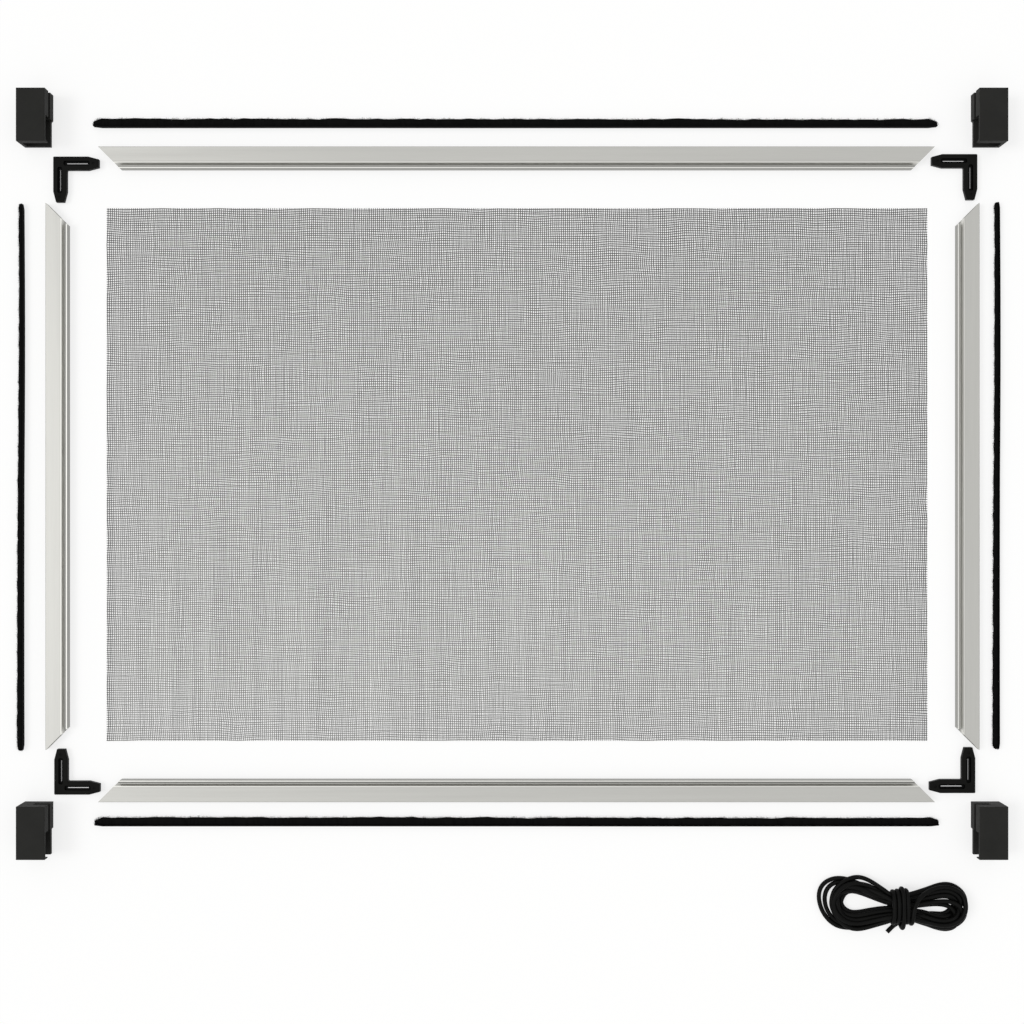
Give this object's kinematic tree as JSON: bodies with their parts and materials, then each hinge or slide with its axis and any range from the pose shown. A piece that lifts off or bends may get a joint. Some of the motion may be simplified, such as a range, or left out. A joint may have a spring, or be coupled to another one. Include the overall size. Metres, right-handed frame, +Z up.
{
  "type": "window insect screen frame",
  "caption": "Insect screen frame for a window, laid out as a kit: mitred aluminium profiles, corner connectors, hanging brackets, brush seals, mesh and spline cord.",
  "frame": {"origin": "on the surface that the pieces lie on, at the middle of the kit without its cord", "axes": "+X along the frame's length, +Y up the frame's height, +Z up from the surface, out of the screen's front"},
  "size_m": [0.9372, 0.7959, 0.0255],
  "materials": {
    "aluminium": "satin anodised",
    "connector_plastic": "moulded, satin",
    "bracket_plastic": "moulded, fine grain",
    "seal_ribbon": "woven ribbon",
    "seal_pile": "upright pile",
    "mesh_thread": "coated glass thread",
    "spline_rubber": "matt"
  },
  "bodies": {
    "root": {"profile_top": "aluminium", "profile_bottom": "aluminium", "profile_left": "aluminium", "profile_right": "aluminium", "corner_connector_top_left": "connector_plastic", "corner_connector_top_right": "connector_plastic", "corner_connector_bottom_left": "connector_plastic", "corner_connector_bottom_right": "connector_plastic", "hanging_bracket_top_left": "bracket_plastic", "hanging_bracket_top_right": "bracket_plastic", "hanging_bracket_bottom_left": "bracket_plastic", "hanging_bracket_bottom_right": "bracket_plastic", "brush_backing_top": "seal_ribbon", "brush_backing_bottom": "seal_ribbon", "brush_backing_left": "seal_ribbon", "brush_backing_right": "seal_ribbon", "brush_pile_top": "seal_pile", "brush_pile_bottom": "seal_pile", "brush_pile_left": "seal_pile", "brush_pile_right": "seal_pile", "insect_mesh": "mesh_thread", "spline_hank": "spline_rubber"}
  },
  "joints": []
}
